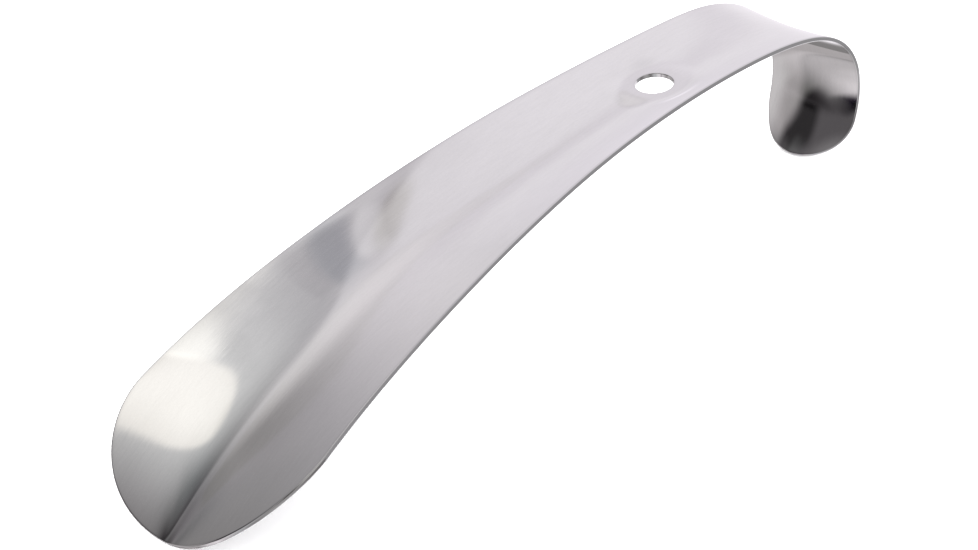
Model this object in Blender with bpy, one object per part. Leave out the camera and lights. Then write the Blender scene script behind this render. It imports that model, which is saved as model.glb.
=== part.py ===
"""Hooked shoehorn, pressed from one sheet of stainless steel.

The blank is a flat strip with a rounded blade tip, a narrower handle and a
rounded tail. The press gives it a valley section, creased along the middle of
the blade and opening into a shallow channel along the handle, an arch along
its length, and a hook at the tail. One round hole is punched through the
handle, inside a small flat land, so that it can hang on a peg.

The shoehorn stands as it does on a table: the blade tip and the hook's tail
touch Z = 0, and the valley faces up. +X runs from the tip to the hook, X = 0
is halfway between its two ends, and Y = 0 is its plane of symmetry.

The shape is worked out in millimetres and scaled to metres at the end. A
"station" is a distance from the tip, measured along the developed strip, and
y is the distance across the flat strip from its middle.
"""

import math

import bmesh
import bpy
from mathutils import Vector
from mathutils.geometry import delaunay_2d_cdt

MM = 0.001

# ---- driving dimensions: millimetres and degrees -----------------------------
LENGTH = 235.0          # developed length, along the middle of the sheet
SHEET = 1.0             # sheet thickness
EDGE_BREAK = 0.25       # chamfer that breaks the sheet's outer cut edge

# the arch: how the tangent of the centreline turns along the strip
BLADE_TURN = 36.8       # the blade's own curl, fading out towards the handle
BLADE_CURL_END = 100.0  # where that curl has faded out
CURL_POWER = 1.75       # how it fades
ARCH_TURN = 7.2         # even, slight arch of the whole strip
HOOK_START = 149.0      # where the hook's bend begins
HOOK_END = 241.3        # where the bend would be complete, just past the tail
HOOK_TURN = 134.0       # how far the complete bend would turn
HOOK_LATE = 0.71        # how much the bend is gathered towards the tail

# the blank's outline, as half widths and the stations between which they change
BLADE_HALF = 26.65      # of the blade's long taper, before the tip is rounded
HANDLE_HALF = 13.3      # of the handle
TAIL_HALF = 10.95       # of the tail, before its end is rounded
TAPER_START, TAPER_END = -26.0, 176.8
TAPER_EASE = -0.147     # shifts the middle of the taper; below 0 it is wider
TAIL_TAPER_START = 186.0
TIP_ROUND, TIP_POWER = 26.8, 1.74     # length and exponent of the rounded tip
TAIL_ROUND, TAIL_POWER = 10.8, 1.88   # the same for the rounded tail

# the valley section: rise of each flank per millimetre away from the crease
FLANKS = (              # (station, slope of the flank)
    (0.0, 0.35),
    (35.0, 0.19),
    (75.0, 0.24),
    (118.0, 0.62),
    (160.0, 0.575),
    (200.0, 0.137),
    (LENGTH, 0.69),
)
CREASE_TIP, CREASE_MAIN = 2.45, 12.6  # half width of the crease's rounded root
CREASE_RUN = 20.0       # over which it opens out from the one to the other

# the hanging hole and its flat land
HOLE_STATION = 155.6
HOLE_RADIUS = 4.0
LAND_RADIUS = 5.3
LAND_BLEND = 5.7        # over which the land runs back into the channel
LAND_REACH = LAND_RADIUS + LAND_BLEND
LAND_RISE = 0.44        # of the land above the middle of the channel

# fineness of the mesh
OUTLINE_STEP = 2.6
ROUND_ALLOWANCE = 1.2   # a rounded end's arc, as a multiple of its chord
ROUND_MIN_STEPS = 8
GRID_STEP = 3.4         # between rows of inner points, along the strip
CREASE_LINES = (0.0, 1.1, 2.4, 4.4, 7.4, 10.8, 14.4, 18.2, 22.2)  # their |y|
EDGE_CLEARANCE = GRID_STEP * 0.42         # inner points keep this off the edge
LAND_CLEARANCE = LAND_RADIUS + LAND_BLEND * 0.85  # and this off the hole's centre
HOLE_SIDES = 40
TABLE_STEP = 0.25       # between points of the centreline's table
PROBE = 0.02            # half span over which the sheet's normal is measured
MERGE_DISTANCE = 1e-6   # within which the triangulation joins points

# the search for the resting tilt
TILT_RANGE = (-25.0, 15.0)
TILT_HALVINGS = 40

SHARP_ANGLE = 35.0      # edges bent more than this are shaded sharp


# ---- the centreline ----------------------------------------------------------
def clamp(value):
    """The value held between 0 and 1."""
    return min(1.0, max(0.0, value))


def smoothstep(u):
    return u * u * (3.0 - 2.0 * u)


def tangent(station):
    """Angle of the centreline above the horizontal, in radians."""
    curl = max(0.0, 1.0 - station / BLADE_CURL_END)
    bend = clamp((station - HOOK_START) / (HOOK_END - HOOK_START))
    bend -= HOOK_LATE * bend * (1.0 - bend)
    hook = bend - math.sin(2.0 * math.pi * bend) / (2.0 * math.pi)
    return math.radians(
        BLADE_TURN * curl**CURL_POWER
        - ARCH_TURN * station / LENGTH
        - HOOK_TURN * hook
    )


def centreline():
    """Points (x, z) of the centreline every TABLE_STEP, by the trapezium rule."""
    points, x, z = [(0.0, 0.0)], 0.0, 0.0
    for i in range(int(round(LENGTH / TABLE_STEP))):
        start, end = tangent(i * TABLE_STEP), tangent((i + 1) * TABLE_STEP)
        x += TABLE_STEP * (math.cos(start) + math.cos(end)) / 2.0
        z += TABLE_STEP * (math.sin(start) + math.sin(end)) / 2.0
        points.append((x, z))
    return points


CENTRELINE = centreline()


def on_centreline(station):
    """The centreline's (x, z), carried on straight past both ends."""
    i = min(len(CENTRELINE) - 2, max(0, int(station / TABLE_STEP)))
    share = station / TABLE_STEP - i
    (x0, z0), (x1, z1) = CENTRELINE[i], CENTRELINE[i + 1]
    return x0 + share * (x1 - x0), z0 + share * (z1 - z0)


def strip_axes(station):
    """Unit vectors along the strip, and square to it."""
    angle = tangent(station)
    return (
        Vector((math.cos(angle), 0.0, math.sin(angle))),
        Vector((-math.sin(angle), 0.0, math.cos(angle))),
    )


# ---- the valley section ------------------------------------------------------
def spline_bends(table):
    """Second derivatives of the natural cubic spline through the table."""
    count = len(table)
    bends, work = [0.0] * count, [0.0] * count
    for i in range(1, count - 1):
        (x0, y0), (x1, y1), (x2, y2) = table[i - 1 : i + 2]
        ratio = (x1 - x0) / (x2 - x0)
        pivot = ratio * bends[i - 1] + 2.0
        bends[i] = (ratio - 1.0) / pivot
        step = (y2 - y1) / (x2 - x1) - (y1 - y0) / (x1 - x0)
        work[i] = (6.0 * step / (x2 - x0) - ratio * work[i - 1]) / pivot
    for i in range(count - 2, 0, -1):
        bends[i] = bends[i] * bends[i + 1] + work[i]
    return bends


FLANK_BENDS = spline_bends(FLANKS)


def flank_slope(station):
    """Slope of the valley's flanks, by a spline through FLANKS."""
    station = min(LENGTH, max(0.0, station))
    i = 0
    while i < len(FLANKS) - 2 and station > FLANKS[i + 1][0]:
        i += 1
    (start, start_slope), (end, end_slope) = FLANKS[i], FLANKS[i + 1]
    gap = end - start
    before, after = (end - station) / gap, (station - start) / gap
    bend = (before**3 - before) * FLANK_BENDS[i] + (after**3 - after) * FLANK_BENDS[i + 1]
    return before * start_slope + after * end_slope + bend * gap * gap / 6.0


def valley(station, y):
    """The middle of the sheet, before the land is pressed."""
    x, z = on_centreline(station)
    _, square = strip_axes(station)
    root = CREASE_MAIN - (CREASE_MAIN - CREASE_TIP) * math.exp(-station / CREASE_RUN)
    rise = flank_slope(station) * (math.sqrt(y * y + root * root) - root)
    return Vector((x, y, z)) + square * rise


def land_plane(station, y):
    """The plane of the flat land round the hole."""
    x, z = on_centreline(HOLE_STATION)
    along, square = strip_axes(HOLE_STATION)
    return Vector((x, y, z)) + along * (station - HOLE_STATION) + square * LAND_RISE


def middle(station, y):
    """The middle of the sheet, with the land blended into the valley."""
    point = valley(station, y)
    from_hole = math.hypot(station - HOLE_STATION, y)
    if from_hole < LAND_REACH:
        u = clamp((LAND_REACH - from_hole) / LAND_BLEND)
        share = u * u * u * (u * (6.0 * u - 15.0) + 10.0)
        point = point.lerp(land_plane(station, y), share)
    return point


def surface(station, y, height):
    """The point at a height above the middle of the sheet, square to it."""
    along = middle(station + PROBE, y) - middle(station - PROBE, y)
    across = middle(station, y + PROBE) - middle(station, y - PROBE)
    return middle(station, y) + along.cross(across).normalized() * height


# ---- the blank, flat: points are (station, y) --------------------------------
def half_width(station):
    """Half width of the blank, rounded to nothing at both ends."""
    u = clamp((station - TAPER_START) / (TAPER_END - TAPER_START))
    ease = smoothstep(u) + 4.0 * TAPER_EASE * (u * (1.0 - u)) ** 2
    width = BLADE_HALF + (HANDLE_HALF - BLADE_HALF) * ease
    u = clamp((station - TAIL_TAPER_START) / (LENGTH - TAIL_TAPER_START))
    width += (TAIL_HALF - HANDLE_HALF) * (0.5 * smoothstep(u) + 0.5 * u)
    tip = clamp(1.0 - station / TIP_ROUND)
    tail = clamp(1.0 - (LENGTH - station) / TAIL_ROUND)
    return (
        width
        * math.sqrt(max(0.0, 1.0 - tip**TIP_POWER))
        * math.sqrt(max(0.0, 1.0 - tail**TAIL_POWER))
    )


def round_steps(length, half):
    """Number of outline steps on one side of a rounded end."""
    return max(ROUND_MIN_STEPS, int(math.hypot(length, half) * ROUND_ALLOWANCE / OUTLINE_STEP))


def outline():
    """The blank's outline, anticlockwise, starting at the tip."""
    stations = []
    count = round_steps(TIP_ROUND, BLADE_HALF)
    for i in range(count):
        stations.append(TIP_ROUND * (1.0 - math.cos(0.5 * math.pi * i / count)))
    between = LENGTH - TIP_ROUND - TAIL_ROUND
    count = int(between / OUTLINE_STEP)
    for i in range(count):
        stations.append(TIP_ROUND + between * i / count)
    count = round_steps(TAIL_ROUND, TAIL_HALF)
    for i in range(count + 1):
        stations.append(LENGTH - TAIL_ROUND * (1.0 - math.sin(0.5 * math.pi * i / count)))
    lower = [(station, -half_width(station)) for station in stations]
    upper = [(station, half_width(station)) for station in reversed(stations[1:-1])]
    return [Vector(point) for point in lower + upper]


def inset(loop, distance):
    """The loop moved inwards by a distance."""
    moved = []
    for i, point in enumerate(loop):
        along = (loop[(i + 1) % len(loop)] - loop[i - 1]).normalized()
        moved.append(point + Vector((-along.y, along.x)) * distance)
    return moved


def inside(point, loop):
    """Is the point within the loop? Counts the sides crossed by a ray."""
    odd = False
    for i, end in enumerate(loop):
        start = loop[i - 1]
        if (end.y > point.y) != (start.y > point.y) and point.x < (
            (start.x - end.x) * (point.y - end.y) / (start.y - end.y) + end.x
        ):
            odd = not odd
    return odd


def ring(radius, count):
    """A circle of points round the hole's centre."""
    points = []
    for i in range(count):
        angle = 2.0 * math.pi * i / count
        points.append(
            Vector((HOLE_STATION + radius * math.cos(angle), radius * math.sin(angle)))
        )
    return points


def grid_points(edge):
    """Points in lines beside the crease, clear of the edge and of the land."""
    limit = inset(edge, EDGE_CLEARANCE)
    points = []
    rows = int(LENGTH / GRID_STEP)
    for i in range(1, rows):
        station = LENGTH * i / rows
        for line in CREASE_LINES:
            for y in (line, -line) if line else (0.0,):
                point = Vector((station, y))
                from_hole = math.hypot(station - HOLE_STATION, y)
                if from_hole > LAND_CLEARANCE and inside(point, limit):
                    points.append(point)
    return points


def blank(edge):
    """Points and triangles of the flat blank, within the loop called edge.

    The first points are the edge's, and the next ones the hole's.
    """
    points = (
        edge
        + ring(HOLE_RADIUS, HOLE_SIDES)
        + ring(LAND_RADIUS, HOLE_SIDES)
        + ring(LAND_RADIUS + LAND_BLEND * 0.5, HOLE_SIDES // 2)
        + grid_points(edge)
    )
    hole_base = len(edge)
    land_base = hole_base + HOLE_SIDES
    # sides the triangulation must keep: three loops, and spokes from hole to land
    sides = []
    for base, count in ((0, len(edge)), (hole_base, HOLE_SIDES), (land_base, HOLE_SIDES)):
        sides += [(base + i, base + (i + 1) % count) for i in range(count)]
    sides += [(hole_base + i, land_base + i) for i in range(HOLE_SIDES)]

    flat, _, faces, origins, _, _ = delaunay_2d_cdt(points, sides, [], 0, MERGE_DISTANCE)
    if len(flat) != len(points):
        raise RuntimeError("the blank's points ran together")
    kept = []
    for face in faces:
        centre = sum((flat[i] for i in face), Vector((0.0, 0.0))) / len(face)
        # 0.995 keeps rounding from dropping the triangles that border the hole
        if (centre - Vector((HOLE_STATION, 0.0))).length < HOLE_RADIUS * 0.995:
            continue
        if inside(centre, edge):
            kept.append([origins[i][0] for i in face])
    return points, kept


# ---- how it stands -----------------------------------------------------------
def standing():
    """(tilt, shift): the turn about Y and the (x, z) move that stand it on Z = 0."""
    half, cloud = SHEET / 2.0, []
    edge = outline()
    for loop, height in ((edge, half - EDGE_BREAK), (inset(edge, EDGE_BREAK), half)):
        for point in loop:
            cloud += [surface(*point, height), surface(*point, -height)]

    def turned(angle):
        """The cloud's (x, z) after the turn, and the x halfway along it."""
        cosine, sine = math.cos(angle), math.sin(angle)
        flat = [(cosine * p.x + sine * p.z, -sine * p.x + cosine * p.z) for p in cloud]
        return flat, (min(x for x, _ in flat) + max(x for x, _ in flat)) / 2.0

    def gap(angle):
        """How far the tip's lowest point is above the tail's."""
        flat, centre = turned(angle)
        return min(z for x, z in flat if x < centre) - min(z for x, z in flat if x >= centre)

    low, high = (math.radians(limit) for limit in TILT_RANGE)
    for _ in range(TILT_HALVINGS):
        tilt = (low + high) / 2.0
        if (gap(tilt) > 0.0) == (gap(low) > 0.0):
            low = tilt
        else:
            high = tilt
    flat, centre = turned(tilt)
    return tilt, (-centre, -min(z for _, z in flat))


TILT, SHIFT = standing()


def placed(point):
    """A point of the shape in the finished frame, in metres."""
    cosine, sine = math.cos(TILT), math.sin(TILT)
    return Vector(
        (
            (cosine * point.x + sine * point.z + SHIFT[0]) * MM,
            point.y * MM,
            (-sine * point.x + cosine * point.z + SHIFT[1]) * MM,
        )
    )


# ---- the solid ---------------------------------------------------------------
def sheet_mesh():
    """The pressed sheet as one closed mesh."""
    edge = outline()
    points, triangles = blank(inset(edge, EDGE_BREAK))
    half = SHEET / 2.0
    mesh = bmesh.new()

    def vertices(flat, height):
        return [mesh.verts.new(placed(surface(*point, height))) for point in flat]

    def wall(over, under, base, count):
        """Quads joining two levels of one loop."""
        for i in range(base, base + count):
            j = base + (i - base + 1) % count
            mesh.faces.new((over[i], under[i], under[j], over[j]))

    top = vertices(points, half)
    bottom = vertices(points, -half)
    upper = vertices(edge, half - EDGE_BREAK)
    lower = vertices(edge, EDGE_BREAK - half)
    for a, b, c in triangles:
        first, second = points[b] - points[a], points[c] - points[a]
        if first.x * second.y - first.y * second.x < 0.0:
            b, c = c, b
        mesh.faces.new((top[a], top[b], top[c]))
        mesh.faces.new((bottom[a], bottom[c], bottom[b]))
    # the outer edge, with its two chamfers, then the hole's wall facing inwards
    for over, under in ((top, upper), (upper, lower), (lower, bottom)):
        wall(over, under, 0, len(edge))
    wall(bottom, top, len(edge), HOLE_SIDES)
    bmesh.ops.recalc_face_normals(mesh, faces=mesh.faces)
    return mesh


def steel():
    """Stainless steel with a fine brushed finish."""
    material = bpy.data.materials.new("brushed_stainless")
    material.use_nodes = True
    shader = material.node_tree.nodes["Principled BSDF"]
    shader.inputs["Base Color"].default_value = (0.72, 0.70, 0.72, 1.0)
    shader.inputs["Metallic"].default_value = 1.0
    shader.inputs["Roughness"].default_value = 0.3
    return material


def build():
    for old in list(bpy.data.objects):
        bpy.data.objects.remove(old, do_unlink=True)
    mesh = sheet_mesh()
    data = bpy.data.meshes.new("shoehorn_body")
    mesh.to_mesh(data)
    mesh.free()
    data.shade_smooth()
    data.set_sharp_from_angle(angle=math.radians(SHARP_ANGLE))
    data.materials.append(steel())
    body = bpy.data.objects.new("shoehorn_body", data)
    bpy.context.scene.collection.objects.link(body)


build()
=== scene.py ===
"""Looks of a hooked shoehorn: one pressed sheet of brushed stainless steel.

It lies along X and stands on Z = 0: the blade's tip at -X with its valley open
upward, the handle's hook at +X, turned down and back under itself. The sheet is
a fine all-quad mesh on the same functions as its CAD solid, with rounded edges,
and it stands for that solid. The shape is in millimetres, the scene in metres.

The flat blank has coordinates (arc, y): arc runs along the middle of the sheet
from the tip to the tail (the hook's end), and y runs across it.
"""

import math

import bpy
import numpy as np
from mathutils import Matrix, Vector


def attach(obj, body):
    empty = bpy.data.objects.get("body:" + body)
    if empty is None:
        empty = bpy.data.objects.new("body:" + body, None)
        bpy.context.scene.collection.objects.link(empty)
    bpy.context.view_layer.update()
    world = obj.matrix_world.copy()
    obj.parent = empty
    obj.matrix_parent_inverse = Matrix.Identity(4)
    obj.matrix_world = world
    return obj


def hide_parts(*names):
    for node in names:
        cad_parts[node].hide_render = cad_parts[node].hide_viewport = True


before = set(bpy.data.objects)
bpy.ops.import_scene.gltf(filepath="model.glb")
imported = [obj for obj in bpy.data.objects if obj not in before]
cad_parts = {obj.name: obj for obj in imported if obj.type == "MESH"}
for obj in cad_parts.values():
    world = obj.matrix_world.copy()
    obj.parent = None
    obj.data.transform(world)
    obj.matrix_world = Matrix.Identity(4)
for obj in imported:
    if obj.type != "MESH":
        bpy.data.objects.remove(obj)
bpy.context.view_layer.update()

# ---- the shape, in millimetres and degrees ------------------------------------
LENGTH, SHEET = 235.0, 1.0
# bends of the centreline
BLADE_TURN, BLADE_CURL_END, CURL_POWER, ARCH_TURN = 36.8, 100.0, 1.75, 7.2
HOOK_START, HOOK_END, HOOK_TURN, HOOK_LATE = 149.0, 241.3, 134.0, 0.71
# half widths of the blank, and where it tapers
BLADE_HALF, HANDLE_HALF, TAIL_HALF = 26.65, 13.3, 10.95
TAPER_START, TAPER_END, TAPER_EASE = -26.0, 176.8, -0.147
TAIL_TAPER_START = 186.0
# length and exponent of the rounded ends
TIP_ROUND, TIP_POWER = 26.8, 1.74
TAIL_ROUND, TAIL_POWER = 10.8, 1.88
# slope of the valley's flanks: (arc, slope)
FLANKS = np.array([
    (0.0, 0.35), (35.0, 0.19), (75.0, 0.24), (118.0, 0.62),
    (160.0, 0.575), (200.0, 0.137), (235.0, 0.69),
])
# radius of the valley's crease, growing from the tip over CREASE_RUN
CREASE_TIP, CREASE_MAIN, CREASE_RUN = 2.45, 12.6, 20.0
HOLE_AT, HOLE_R = 155.6, 4.0
# flat land round the hole: its radius, its blend into the valley, its height
LAND_R, LAND_BLEND, LAND_RISE = 5.3, 5.7, 0.44
# how the shape stands on Z = 0: turn about Y, then shift in X and Z
TILT = math.radians(-7.126351541264742)
SHIFT_X, SHIFT_Z = -100.26426390318132, 0.2414

# ---- the fine mesh ------------------------------------------------------------
COLUMNS = 60            # across the sheet
TIP_ROWS, BODY_STEP, TAIL_ROWS = 34, 0.85, 22
BLOCK_COLUMNS = 17      # each side of the middle, round the hole
BLOCK_ROWS = 20         # of the block round the hole
BLOCK_HALF = 8.1        # half length of that block
HOLE_RINGS = 9
RING_GATHER = 0.55      # how far the rings crowd towards the hole
EDGE_ROUND = 0.28       # radius of the outer edge
HOLE_ROUND = 0.16       # radius of the hole's edge
ARC_STEPS = 5           # of each rounded corner
WEAR_REACH = 1.6        # distance from a cut edge over which "rim" fades out
UNDERSIDE_SHIFT = (0.0, 160.0)      # of the lower face in the UV map
MM = 0.001
UV_SCALE = 0.01         # UV units per millimetre


# ---- the centreline and the pressed surface -----------------------------------
def heading(arc):
    """Angle of the centreline above X, before the tilt, in radians."""
    curl = np.maximum(0.0, 1.0 - arc / BLADE_CURL_END)
    part = np.clip((arc - HOOK_START) / (HOOK_END - HOOK_START), 0.0, 1.0)
    part = part - HOOK_LATE * part * (1.0 - part)
    hook = part - np.sin(2.0 * np.pi * part) / (2.0 * np.pi)
    return np.radians(
        BLADE_TURN * curl**CURL_POWER - ARCH_TURN * arc / LENGTH - HOOK_TURN * hook
    )


def centreline_table(step=0.05, spare=2.0):
    """(arc, x, z, dx, dz, step) from just before the tip to just past the tail."""
    count = int(round((LENGTH + 2.0 * spare) / step)) + 1
    arc = -spare + step * np.arange(count)
    between = heading((arc[1:] + arc[:-1]) / 2.0)
    ends = heading(arc)
    zero = int(round(spare / step))

    def integral(part):
        """Simpson's rule over each step, summed and made 0 at arc 0."""
        at_ends = part(ends)
        gains = step * (at_ends[1:] + at_ends[:-1] + 4.0 * part(between)) / 6.0
        run = np.concatenate(([0.0], np.cumsum(gains)))
        return run - run[zero]

    return arc, integral(np.cos), integral(np.sin), np.cos(ends), np.sin(ends), step


LINE = centreline_table()


def on_centreline(arc):
    """(x, z) by cubic Hermite interpolation of the table, so the sheet stays smooth."""
    table_arc, x, z, dx, dz, step = LINE
    i = np.clip(((arc - table_arc[0]) / step).astype(int), 0, len(table_arc) - 2)
    f = (arc - table_arc[i]) / step
    start, start_slope = 2 * f**3 - 3 * f**2 + 1, f**3 - 2 * f**2 + f
    end, end_slope = -2 * f**3 + 3 * f**2, f**3 - f**2
    return [
        start * place[i] + start_slope * step * slope[i]
        + end * place[i + 1] + end_slope * step * slope[i + 1]
        for place, slope in ((x, dx), (z, dz))
    ]


def full_width(arc):
    """Half width of the blank before its ends are rounded."""
    part = np.clip((arc - TAPER_START) / (TAPER_END - TAPER_START), 0.0, 1.0)
    ease = part * part * (3.0 - 2.0 * part) + 4.0 * TAPER_EASE * (part * (1.0 - part)) ** 2
    width = BLADE_HALF + (HANDLE_HALF - BLADE_HALF) * ease
    part = np.clip((arc - TAIL_TAPER_START) / (LENGTH - TAIL_TAPER_START), 0.0, 1.0)
    ease = 0.5 * part * part * (3.0 - 2.0 * part) + 0.5 * part
    return width + (TAIL_HALF - HANDLE_HALF) * ease


def spline_seconds(x, y):
    """Second derivatives of the natural cubic spline through (x, y)."""
    count = len(x)
    matrix, jumps = np.eye(count), np.zeros(count)
    for i in range(1, count - 1):
        before, after = x[i] - x[i - 1], x[i + 1] - x[i]
        matrix[i, i - 1 : i + 2] = before / 6.0, (before + after) / 3.0, after / 6.0
        jumps[i] = (y[i + 1] - y[i]) / after - (y[i] - y[i - 1]) / before
    return np.linalg.solve(matrix, jumps)


FLANK_SECOND = spline_seconds(FLANKS[:, 0], FLANKS[:, 1])


def flank(arc):
    """Slope of the valley's flanks."""
    x, y = FLANKS[:, 0], FLANKS[:, 1]
    arc = np.clip(arc, x[0], x[-1])
    i = np.clip(np.searchsorted(x, arc, side="left") - 1, 0, len(x) - 2)
    gap = x[i + 1] - x[i]
    start, end = (x[i + 1] - arc) / gap, (arc - x[i]) / gap
    bend = (start**3 - start) * FLANK_SECOND[i] + (end**3 - end) * FLANK_SECOND[i + 1]
    return start * y[i] + end * y[i + 1] + bend * gap * gap / 6.0


def middle(arc, y):
    """The middle of the sheet's thickness, before the tilt."""
    x, z = on_centreline(arc)
    angle = heading(arc)
    crease = CREASE_MAIN - (CREASE_MAIN - CREASE_TIP) * np.exp(-arc / CREASE_RUN)
    rise = flank(arc) * (np.sqrt(y * y + crease * crease) - crease)
    valley = np.stack((x - np.sin(angle) * rise, y, z + np.cos(angle) * rise), axis=-1)

    hole = np.array([HOLE_AT])
    hole_x, hole_z = on_centreline(hole)
    cosine, sine = np.cos(heading(hole)), np.sin(heading(hole))
    ahead = arc - HOLE_AT
    land = np.stack((
        hole_x + cosine * ahead - sine * LAND_RISE,
        y,
        hole_z + sine * ahead + cosine * LAND_RISE,
    ), axis=-1)

    near = np.clip((LAND_R + LAND_BLEND - np.hypot(ahead, y)) / LAND_BLEND, 0.0, 1.0)
    share = (near**3 * (near * (6.0 * near - 15.0) + 10.0))[..., None]
    return valley + share * (land - valley)


def unit(vector):
    return vector / np.maximum(np.linalg.norm(vector, axis=-1, keepdims=True), 1e-12)


def tilted(vector):
    """A direction of the untilted shape as it stands in the scene."""
    cosine, sine = math.cos(TILT), math.sin(TILT)
    x, y, z = vector[..., 0], vector[..., 1], vector[..., 2]
    return np.stack((cosine * x + sine * z, y, -sine * x + cosine * z), axis=-1)


def sheet_frame(flat, step=0.02):
    """(middle point, along, across, upper normal) at blank points, in millimetres."""
    arc, y = flat[:, 0], flat[:, 1]
    along = tilted(middle(arc + step, y) - middle(arc - step, y)) / (2.0 * step)
    across = tilted(middle(arc, y + step) - middle(arc, y - step)) / (2.0 * step)
    point = tilted(middle(arc, y)) + np.array((SHIFT_X, 0.0, SHIFT_Z))
    return point, along, across, unit(np.cross(along, across))


# ---- the flat blank as a grid ---------------------------------------------------
def outline_normal(arc, y):
    """Outward normal of the blank's outline, (y / width)^2 + tip^power + tail^power = 1."""
    width = full_width(arc)
    taper = (full_width(arc + 0.01) - full_width(arc - 0.01)) / 0.02
    tip = np.clip(1.0 - arc / TIP_ROUND, 0.0, 1.0)
    tail = np.clip(1.0 - (LENGTH - arc) / TAIL_ROUND, 0.0, 1.0)
    along = (
        -2.0 * y * y * taper / width**3
        - TIP_POWER / TIP_ROUND * tip ** (TIP_POWER - 1.0)
        + TAIL_POWER / TAIL_ROUND * tail ** (TAIL_POWER - 1.0)
    )
    return unit(np.stack((along, 2.0 * y / (width * width)), axis=-1))


def end_point(disc_x, disc_y, tip):
    """(arc, y) of a point of the unit half disc that stands for a rounded end."""
    power, size = (TIP_POWER, TIP_ROUND) if tip else (TAIL_POWER, TAIL_ROUND)
    reach = size * (1.0 - np.maximum(disc_y, 0.0) ** (2.0 / power))
    arc = reach if tip else LENGTH - reach
    return arc, disc_x * full_width(arc)


def end_grid(across, rows, tip):
    """Rows from an end's straight side out to its rounded edge, drawn in by EDGE_ROUND."""
    grid = []
    for k in range(1, rows + 1):
        out = k / rows
        disc_x = across * np.sqrt(1.0 - out * out / 2.0)
        disc_y = out * np.sqrt(1.0 - across * across / 2.0)
        radius = np.sqrt(disc_x * disc_x + disc_y * disc_y)
        flat = np.stack(end_point(disc_x, disc_y, tip), axis=-1)
        normal = outline_normal(*end_point(disc_x / radius, disc_y / radius, tip))
        grid.append(flat - normal * (EDGE_ROUND * radius * radius)[:, None])
    return grid


def spread(arc, x):
    """Column places, -1 to 1: gathered towards the crease on the blade, even on the handle."""
    even = 0.62 + 0.38 * np.clip((arc - 40.0) / 90.0, 0.0, 1.0) ** 2
    return even * x + (1.0 - even) * x**3


def blank_grid():
    """Rows of (arc, y), tip to tail, and the first row of the block round the hole."""
    x = np.linspace(-1.0, 1.0, COLUMNS + 1)
    first, last = HOLE_AT - BLOCK_HALF, HOLE_AT + BLOCK_HALF

    def stations(start, end):
        return np.linspace(start, end, int(round((end - start) / BODY_STEP)) + 1)

    blade = stations(TIP_ROUND, first)
    block = np.linspace(first, last, BLOCK_ROWS + 1)
    handle = stations(last, LENGTH - TAIL_ROUND)
    rows = end_grid(spread(TIP_ROUND, x), TIP_ROWS, True)[::-1]
    for arc in np.concatenate((blade, block[1:], handle[1:])):
        across = spread(arc, x)
        width = full_width(arc)
        flat = np.stack((np.full_like(across, arc), across * width), axis=-1)
        side = np.where(across >= 0.0, 1.0, -1.0)
        normal = outline_normal(arc, side * width)
        rows.append(flat - normal * (EDGE_ROUND * across * across)[:, None])
    rows += end_grid(spread(LENGTH, x), TAIL_ROWS, False)
    return np.array(rows), TIP_ROWS + len(blade) - 1


def perimeter(index):
    """Indices round the border of a grid, from its first corner along its first row."""
    return np.concatenate((index[0, :-1], index[:-1, -1], index[-1, :0:-1], index[:0:-1, 0]))


def band(first, second):
    """Quads between two closed loops."""
    return np.stack((first, second, np.roll(second, -1), np.roll(first, -1)), axis=1)


def blank_mesh():
    """(points, quads, outer loop, hole loop) of the blank.

    Points within the block round the hole stay in the list but are in no quad.
    Both loops run with the cut edge on their right, seen from the upper face.
    """
    grid, low = blank_grid()
    high = low + BLOCK_ROWS
    left = COLUMNS // 2 - BLOCK_COLUMNS
    right = COLUMNS // 2 + BLOCK_COLUMNS
    points = [grid.reshape(-1, 2)]
    index = np.arange(len(points[0])).reshape(grid.shape[:2])

    cells = np.stack((index[:-1, :-1], index[1:, :-1], index[1:, 1:], index[:-1, 1:]), axis=-1)
    kept = np.ones(cells.shape[:2], bool)
    kept[low:high, left:right] = False
    quads = [cells[kept]]

    # rings from the block's border in to the hole
    loop = perimeter(index[low : high + 1, left : right + 1])
    hole = np.array((HOLE_AT, 0.0))
    outer = points[0][loop]
    inner = hole + unit(outer - hole) * (HOLE_R + HOLE_ROUND)
    total = index.size
    for k in range(1, HOLE_RINGS + 1):
        inward = k / HOLE_RINGS
        inward = inward * (1.0 + RING_GATHER * (1.0 - inward))
        points.append(outer + (inner - outer) * inward)
        ring = np.arange(total, total + len(loop))
        quads.append(band(loop, ring))
        loop = ring
        total += len(ring)
    return np.concatenate(points), np.concatenate(quads), perimeter(index)[::-1], loop


# ---- the sheet ------------------------------------------------------------------
def edge_nearness(flat, edge):
    """1 at a cut edge, falling to 0 at WEAR_REACH from it."""
    gap = np.hypot(flat[:, 0] - HOLE_AT, flat[:, 1]) - HOLE_R
    for arc, y in edge:
        gap = np.minimum(gap, np.hypot(flat[:, 0] - arc, flat[:, 1] - y))
    return np.clip(1.0 - gap / WEAR_REACH, 0.0, 1.0)


def outline_out(base):
    """Outward normals for the drawn-in loop: those of the outline beside each point."""
    guess = base
    for _ in range(6):
        normal = outline_normal(guess[:, 0], guess[:, 1])
        guess = base + normal * EDGE_ROUND
    return normal


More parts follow.
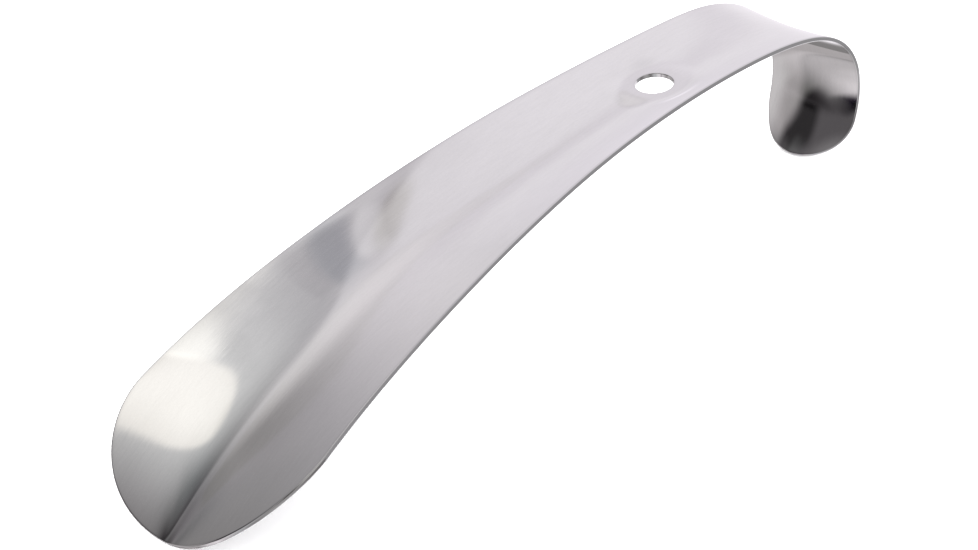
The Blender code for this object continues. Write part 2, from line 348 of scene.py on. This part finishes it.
def skirt(base, radius, out):
    """Layers of the rounded edge beside the blank points base, from upper face to lower."""
    half = SHEET / 2.0
    edge = base + out * radius
    angles = [math.radians(90.0 * k / ARC_STEPS) for k in range(1, ARC_STEPS + 1)]
    steps = [(angle, 1.0) for angle in angles] + [(angle, -1.0) for angle in reversed(angles)]
    layers = []
    for angle, side in steps:
        height = side * (half - radius * (1.0 - math.cos(angle)))
        flat = edge - out * (radius * (1.0 - math.sin(angle)))
        point, along, across, normal = sheet_frame(flat)
        # out_space is square to the edge and lies in the sheet
        edge_run = unit(along * -out[:, 1:] + across * out[:, :1])
        out_space = unit(np.cross(edge_run, normal))
        layers.append((
            point + normal * height,
            normal * math.cos(angle) * side + out_space * math.sin(angle),
            flat + out * (half - height),
            np.ones(len(base)),
        ))
    return layers


def build_sheet():
    """(vertices, normals, developed coordinates, edge nearness, faces), in millimetres."""
    flat, quads, edge_loop, hole_loop = blank_mesh()
    count = len(flat)
    point, _, _, normal = sheet_frame(flat)
    rim = edge_nearness(flat, flat[edge_loop])
    half = SHEET / 2.0
    layers = [
        (point + normal * half, normal, flat, rim),
        (point - normal * half, -normal, flat + np.array(UNDERSIDE_SHIFT), rim),
    ]
    faces = [quads, quads[:, ::-1] + count]
    total = 2 * count
    hole_out = -unit(flat[hole_loop] - np.array((HOLE_AT, 0.0)))
    for loop, radius, out in (
        (edge_loop, EDGE_ROUND, outline_out(flat[edge_loop])),
        (hole_loop, HOLE_ROUND, hole_out),
    ):
        rings = [loop]
        for layer in skirt(flat[loop], radius, out):
            layers.append(layer)
            rings.append(np.arange(total, total + len(loop)))
            total += len(loop)
        rings.append(loop + count)
        faces += [band(over, under) for over, under in zip(rings, rings[1:])]

    faces = np.concatenate(faces)
    # drop the points that are in no face
    used, renumbered = np.unique(faces, return_inverse=True)
    columns = [np.concatenate(column)[used] for column in zip(*layers)]
    return *columns, renumbered.reshape(faces.shape)


def link_object(name, data):
    obj = bpy.data.objects.new(name, data)
    bpy.context.scene.collection.objects.link(obj)
    return obj


def sheet_object(material):
    verts, normals, uvs, rims, faces = build_sheet()
    mesh = bpy.data.meshes.new("shoehorn")
    mesh.from_pydata((verts * MM).tolist(), [], faces.tolist())
    mesh.validate()
    mesh.update()
    mesh.shade_smooth()
    layer = mesh.uv_layers.new(name="Developed")
    corners = np.empty(len(mesh.loops), np.int32)
    mesh.loops.foreach_get("vertex_index", corners)
    layer.data.foreach_set("uv", (uvs[corners] * UV_SCALE).astype(np.float32).ravel())
    rim = mesh.attributes.new("rim", "FLOAT", "POINT")
    rim.data.foreach_set("value", rims.astype(np.float32))
    mesh.normals_split_custom_set_from_vertices(normals.tolist())
    mesh.materials.append(material)
    return link_object("shoehorn", mesh)


# ---- node helpers ---------------------------------------------------------------
# first value input and output of a mix node, by data type
MIX_SOCKETS = {"FLOAT": (2, 0), "VECTOR": (4, 1), "RGBA": (6, 2)}


class Nodes:
    """Short calls for building a node tree; values may be sockets or constants."""

    def __init__(self, tree):
        self.tree = tree
        tree.nodes.clear()

    def add(self, kind, inputs=None, **props):
        """A new node, its inputs given by name or index."""
        node = self.tree.nodes.new(kind)
        for key, value in props.items():
            setattr(node, key, value)
        for key, value in (inputs or {}).items():
            if isinstance(value, bpy.types.NodeSocket):
                self.tree.links.new(value, node.inputs[key])
            else:
                node.inputs[key].default_value = value
        return node

    def math(self, operation, *values):
        return self.add("ShaderNodeMath", dict(enumerate(values)), operation=operation).outputs[0]

    def times(self, first, second):
        return self.math("MULTIPLY", first, second)

    def plus(self, total, *values):
        for value in values:
            total = self.math("ADD", total, value)
        return total

    def vector_math(self, operation, *values):
        node = self.add("ShaderNodeVectorMath", dict(enumerate(values)), operation=operation)
        return node.outputs[0]

    def combine(self, x, y, z):
        return self.add("ShaderNodeCombineXYZ", {0: x, 1: y, 2: z}).outputs[0]

    def mix(self, data_type, factor, first, second):
        value, result = MIX_SOCKETS[data_type]
        inputs = {0: factor, value: first, value + 1: second}
        return self.add("ShaderNodeMix", inputs, data_type=data_type).outputs[result]


# ---- brushed stainless steel ----------------------------------------------------
# Noise over the developed sheet, 1 unit = 100 mm; brushing runs along the strip:
# stretch along and across, shift along and across, detail, noise roughness
PATTERNS = {
    "hair": ((14.0, 520.0), (0.0, 0.0), 3.0, 0.62),     # hair-fine lines
    "streak": ((18.0, 130.0), (3.1, 1.7), 2.0, 0.6),    # broader streaks
    "cloud": ((9.0, 20.0), (7.3, 2.9), 3.0, 0.55),      # faint cloudy patches
    "grain": ((150.0, 240.0), (1.3, 5.9), 3.0, 0.7),    # the sheet's own grain
}
# mean roughness, how far each pattern swings it, and the value it nears at the rim
ROUGHNESS, RIM_ROUGHNESS = 0.066, 0.13
ROUGHNESS_SWINGS = {"hair": 0.02, "streak": 0.05, "cloud": 0.04}
RIM_WEAR_POWER, RIM_WEAR = 3.0, 0.4
# the tone picks between two greys, which change how much light comes back
TONE = 0.5
TONE_SWINGS = {"streak": 0.36, "hair": 0.24, "grain": 0.42, "cloud": 0.30}
DARK_STEEL, LIGHT_STEEL = (0.575, 0.575, 0.575, 1.0), (0.705, 0.705, 0.705, 1.0)
# the narrow strip beside the cut edge is a little duller
CUT_STEEL, CUT_POWER, CUT_SHARE = (0.49, 0.49, 0.495, 1.0), 7.0, 0.7
# bump height of each pattern, and the depth of one unit in metres
HEIGHTS = {"hair": 0.35, "streak": 1.0, "grain": 0.25, "cloud": 1.2}
BUMP_DEPTH = 0.0000014


def steel():
    material = bpy.data.materials.new("brushed_stainless")
    material.use_nodes = True
    nodes = Nodes(material.node_tree)
    uv = nodes.add("ShaderNodeUVMap", uv_map="Developed").outputs[0]

    def pattern(stretch, shift, detail, roughness):
        mapped = nodes.add("ShaderNodeMapping", {
            "Vector": uv, "Location": (*shift, 0.0), "Scale": (*stretch, 1.0),
        }).outputs[0]
        return nodes.add("ShaderNodeTexNoise", {
            "Vector": mapped, "Scale": 1.0, "Detail": detail, "Roughness": roughness,
        }).outputs["Fac"]

    patterns = {name: pattern(*values) for name, values in PATTERNS.items()}

    def swung(mean, swings):
        """The mean plus each pattern about its middle, times its amount."""
        return nodes.plus(mean, *(
            nodes.times(nodes.math("SUBTRACT", patterns[name], 0.5), amount)
            for name, amount in swings.items()
        ))

    rim = nodes.add("ShaderNodeAttribute", attribute_name="rim").outputs["Fac"]
    worn = nodes.times(nodes.math("POWER", rim, RIM_WEAR_POWER), RIM_WEAR)
    roughness = nodes.mix("FLOAT", worn, swung(ROUGHNESS, ROUGHNESS_SWINGS), RIM_ROUGHNESS)

    colour = nodes.mix("RGBA", swung(TONE, TONE_SWINGS), DARK_STEEL, LIGHT_STEEL)
    cut = nodes.times(nodes.math("POWER", rim, CUT_POWER), CUT_SHARE)
    colour = nodes.mix("RGBA", cut, colour, CUT_STEEL)

    tangent = nodes.add("ShaderNodeTangent", direction_type="UV_MAP", uv_map="Developed")
    height = nodes.plus(*(nodes.times(patterns[name], high) for name, high in HEIGHTS.items()))
    bump = nodes.add("ShaderNodeBump", {
        "Strength": 1.0, "Distance": BUMP_DEPTH, "Height": height,
    })
    shader = nodes.add("ShaderNodeBsdfPrincipled", {
        "Base Color": colour,
        "Metallic": 1.0,
        "Roughness": roughness,
        "Anisotropic": 0.45,
        "Anisotropic Rotation": 0.25,
        "Tangent": tangent.outputs[0],
        "Normal": bump.outputs[0],
    })
    nodes.add("ShaderNodeOutputMaterial", {"Surface": shader.outputs[0]})
    return material


# ---- stage: floor, light, camera --------------------------------------------------
FLOOR_HALF = 4.0


def floor():
    mesh = bpy.data.meshes.new("floor")
    corners = [(-1, -1), (1, -1), (1, 1), (-1, 1)]
    mesh.from_pydata(
        [(x * FLOOR_HALF, y * FLOOR_HALF, 0.0) for x, y in corners], [], [(0, 1, 2, 3)]
    )
    obj = link_object("floor", mesh)
    material = bpy.data.materials.new("floor_white")
    material.use_nodes = True
    shader = material.node_tree.nodes["Principled BSDF"]
    shader.inputs["Base Color"].default_value = (0.93, 0.93, 0.935, 1.0)
    shader.inputs["Roughness"].default_value = 0.9
    shader.inputs["Specular IOR Level"].default_value = 0.0
    mesh.materials.append(material)
    obj.visible_glossy = False


# The steel sees a dome with soft cards on it. Directions are laid out flat, in
# degrees: distance from the zenith, turned by the azimuth (+X right, +Y up).
# Columns: centre x, centre y, half width, half height, turn (radians), softness,
# roundness, strength (red, green, blue). Cards and fill cards add to the dome;
# flags are laid over them, and their strength is what is seen there instead.
FLAGS = [
    (66.0, -58.0, 54.0, 28.0, 0.0, 0.08, 4.0, (0.48, 0.47, 0.48)),
]
FILL = [
    (-4.0, -66.0, 22.0, 34.0, 0.1, 0.45, 3.0, (0.78, 0.77, 0.76)),
    (-104.0, -64.0, 30.0, 40.0, 0.3, 0.6, 2.4, (0.50, 0.51, 0.53)),
    (10.0, -158.0, 150.0, 40.0, 0.0, 0.4, 2.4, (0.45, 0.45, 0.45)),
    (150.0, 20.0, 26.0, 90.0, 0.0, 0.5, 2.4, (0.30, 0.30, 0.30)),
]
CARDS = [
    (124.9, 3.2, 109.2, 79.6, -0.25, 0.24, 6.0, (0.848, 0.812, 0.865)),
    (-6.9, 20.4, 10.1, 9.6, 0.55, 0.11, 1.6, (0.47, 0.434, 0.371)),
    (9.6, 16.3, 7.4, 7.6, 0.06, 0.08, 6.0, (0.628, 0.607, 0.544)),
    (-6.8, 22.3, 20.3, 12.7, 0.01, 0.98, 3.5, (0.792, 0.802, 0.8)),
    (12.2, 40.6, 15.3, 3.2, -0.09, 0.92, 3.9, (0.266, 0.252, 0.252)),
    (1.7, 48.3, 18.1, 23.4, 1.52, 0.65, 2.7, (0.986, 0.943, 0.947)),
    (22.1, 24.0, 2.0, 7.4, -0.34, 0.4, 5.1, (-0.172, -0.152, -0.144)),
    (-18.6, 126.5, 35.8, 83.5, -0.64, 0.11, 3.0, (0.286, 0.264, 0.271)),
    (-36.3, -10.8, 40.3, 15.4, 0.6, 0.85, 6.0, (0.331, 0.321, 0.323)),
    (47.2, 39.6, 66.7, 9.4, -0.21, 0.8, 1.6, (-0.083, -0.088, -0.079)),
    (-52.4, 23.3, 37.4, 32.0, 0.14, 0.2, 6.0, (-0.168, -0.165, -0.159)),
    (-128.6, 42.7, 90.6, 33.7, 1.27, 0.7, 6.0, (1.133, 1.062, 1.107)),
    (27.0, 18.8, 1.5, 9.5, -0.15, 0.45, 2.5, (-0.199, -0.197, -0.236)),
    (11.5, 44.3, 5.6, 28.9, -1.84, 0.06, 6.0, (-0.038, -0.035, -0.05)),
    (0.5, 48.0, 22.1, 19.2, -0.03, 0.57, 6.0, (-0.808, -0.767, -0.763)),
    (-10.8, -35.2, 32.9, 75.2, -0.08, 0.015, 6.0, (-0.216, -0.213, -0.216)),
    (-41.8, 92.3, 22.4, 15.1, -0.25, 0.47, 6.0, (0.243, 0.245, 0.246)),
    (-105.0, 70.8, 26.3, 42.3, -0.22, 0.98, 2.5, (-0.724, -0.679, -0.709)),
    (-110.3, 10.9, 9.6, 17.6, -1.31, 0.72, 6.0, (-0.73, -0.697, -0.699)),
    (-48.9, 44.6, 16.8, 24.3, -0.42, 0.23, 4.8, (-0.095, -0.088, -0.093)),
    (25.7, 20.0, 1.3, 10.5, -0.15, 0.7, 2.4, (-0.129, -0.129, -0.129)),
    (66.0, 74.0, 20.0, 18.0, 0.0, 0.8, 2.0, (-0.16, -0.16, -0.15)),
    (25.3, 21.4, 1.57, 6.84, -0.28, 0.3, 5.0, (0.163, 0.163, 0.163)),
    (21.3, 19.3, 1.98, 3.66, 0.09, 0.87, 5.0, (-0.116, -0.116, -0.116)),
    (30.6, 27.3, 1.29, 4.0, -0.06, 0.31, 1.9, (0.037, 0.037, 0.037)),
    (6.0, 25.1, 2.69, 1.56, -0.07, 0.21, 1.7, (-0.059, -0.059, -0.059)),
    (5.9, 20.2, 9.0, 1.93, -2.71, 0.08, 2.0, (-0.35, -0.35, -0.35)),
    (19.1, 25.7, 1.37, 4.72, -0.3, 0.27, 4.5, (-0.065, -0.065, -0.065)),
    (19.0, 19.1, 3.75, 0.7, -1.08, 0.53, 3.3, (0.259, 0.259, 0.259)),
    (-7.3, 28.4, 4.22, 0.84, -0.01, 0.46, 2.0, (-0.095, -0.095, -0.095)),
    (12.6, 22.4, 1.44, 2.46, 0.14, 0.56, 3.2, (0.146, 0.146, 0.146)),
    (2.4, 26.9, 3.98, 1.91, 0.5, 0.27, 3.8, (-0.031, -0.031, -0.031)),
]
DOME = (0.303, 0.29, 0.291)
DARKEST = (0.006, 0.006, 0.006)     # floor under the sum of the cards
EVEN_STRENGTH = 2.7                 # of the white dome all other rays see


def studio():
    world = bpy.data.worlds.new("studio")
    bpy.context.scene.world = world
    world.use_nodes = True
    world.cycles.sampling_method = "NONE"
    nodes = Nodes(world.node_tree)
    direction = nodes.add("ShaderNodeTexCoord").outputs["Generated"]
    x, y, z = nodes.add("ShaderNodeSeparateXYZ", {0: direction}).outputs
    cosine = nodes.math("MINIMUM", nodes.math("MAXIMUM", z, -1.0), 1.0)
    zenith = nodes.times(nodes.math("ARCCOSINE", cosine), 180.0 / math.pi)
    level = nodes.math("SQRT", nodes.plus(nodes.times(x, x), nodes.times(y, y)))
    level = nodes.math("MAXIMUM", level, 1e-6)
    flat_x, flat_y = (nodes.times(zenith, nodes.math("DIVIDE", part, level)) for part in (x, y))

    def card(centre_x, centre_y, half_width, half_height, turn, soft, power):
        """1 inside the card, falling softly to 0 across its edge."""
        cosine, sine = math.cos(turn), math.sin(turn)
        parts = []
        for to_x, to_y, half in ((cosine, sine, half_width), (-sine, cosine, half_height)):
            offset = -(centre_x * to_x + centre_y * to_y) / half
            part = nodes.plus(
                nodes.times(flat_x, to_x / half),
                nodes.math("MULTIPLY_ADD", flat_y, to_y / half, offset),
            )
            parts.append(nodes.math("POWER", nodes.math("ABSOLUTE", part), power))
        far = nodes.math("POWER", nodes.plus(*parts), 1.0 / power)
        return nodes.add("ShaderNodeMapRange", {
            "Value": far, "From Min": 1.0 - soft, "From Max": 1.0 + soft,
            "To Min": 1.0, "To Max": 0.0,
        }, interpolation_type="SMOOTHSTEP").outputs[0]

    seen = nodes.combine(*DOME)
    for *shape, strength in CARDS + FILL:
        inside = nodes.combine(*[card(*shape)] * 3)
        seen = nodes.vector_math("MULTIPLY_ADD", inside, strength, seen)
    for *shape, strength in FLAGS:
        seen = nodes.mix("VECTOR", card(*shape), seen, strength)
    seen = nodes.vector_math("MAXIMUM", seen, DARKEST)

    # the polished steel sees the cards; an even white dome lights the floor and
    # is the background
    even = nodes.add("ShaderNodeBackground", {
        "Color": (1.0, 1.0, 1.0, 1.0), "Strength": EVEN_STRENGTH,
    })
    cards = nodes.add("ShaderNodeBackground", {"Color": seen})
    glossy = nodes.add("ShaderNodeLightPath").outputs["Is Glossy Ray"]
    choice = nodes.add("ShaderNodeMixShader", {
        0: glossy, 1: even.outputs[0], 2: cards.outputs[0],
    })
    nodes.add("ShaderNodeOutputWorld", {"Surface": choice.outputs[0]})


def camera():
    data = bpy.data.cameras.new("camera")
    data.sensor_width = 36.0
    data.lens = 222.242
    data.clip_start, data.clip_end = 0.01, 50.0
    obj = link_object("camera", data)
    right = Vector((0.658506, -0.750889, -0.050366))
    up = Vector((0.406953, 0.29899, 0.863131))
    back = Vector((-0.633056, -0.588873, 0.502462))
    turned = Matrix((right, up, back)).transposed().to_4x4()
    obj.matrix_world = Matrix.Translation((-0.774394, -0.715434, 0.625931)) @ turned
    bpy.context.scene.camera = obj


body = sheet_object(steel())
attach(body, "root")
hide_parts("shoehorn_body")
body.visible_glossy = False

floor()
studio()
camera()
bpy.context.scene.view_settings.view_transform = "Standard"
